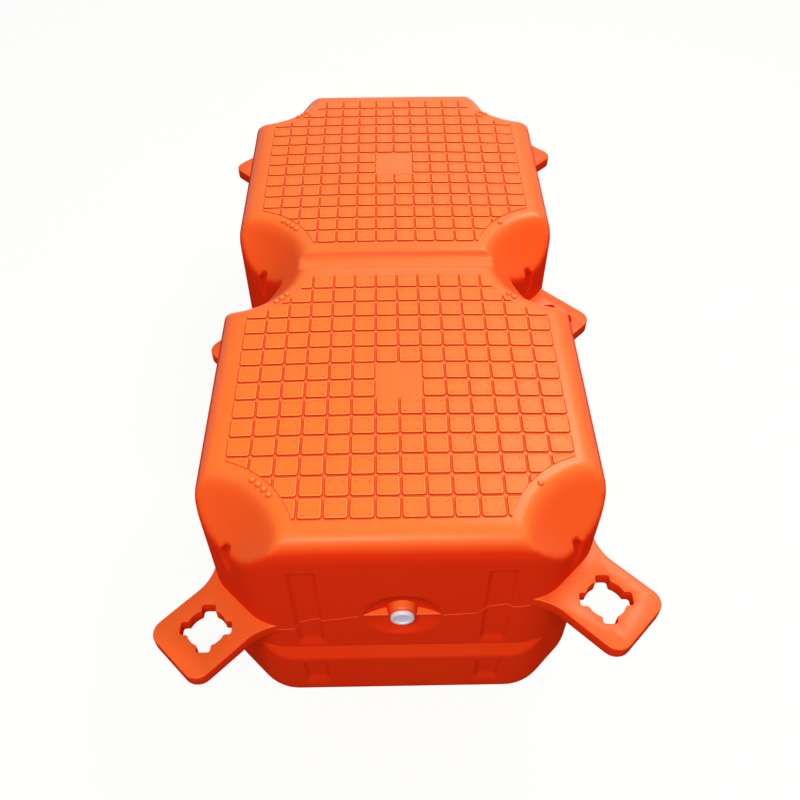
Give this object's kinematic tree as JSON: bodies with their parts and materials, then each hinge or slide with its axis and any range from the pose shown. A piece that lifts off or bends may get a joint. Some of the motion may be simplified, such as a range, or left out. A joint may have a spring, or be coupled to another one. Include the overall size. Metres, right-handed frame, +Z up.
{
  "type": "floating dock cube",
  "caption": "Double-length hollow float for modular docks: moulded body with a raised tread, pin lugs at stepped levels with lobed eyes, and a screw-in vent plug.",
  "frame": {"origin": "centre of the float's underside", "axes": "+X across the float to the right as seen from its vented end, +Y along it away from the vented end, +Z up to the tread"},
  "size_m": [0.6332, 1.1332, 0.4088],
  "materials": {
    "float_shell": "satin orange polyethylene",
    "plug_plastic": "satin pale grey polyethylene",
    "seal_rubber": "matt black rubber"
  },
  "bodies": {
    "root": {"float_body": "float_shell", "vent_plug": "plug_plastic", "plug_seal": "seal_rubber"}
  },
  "joints": []
}
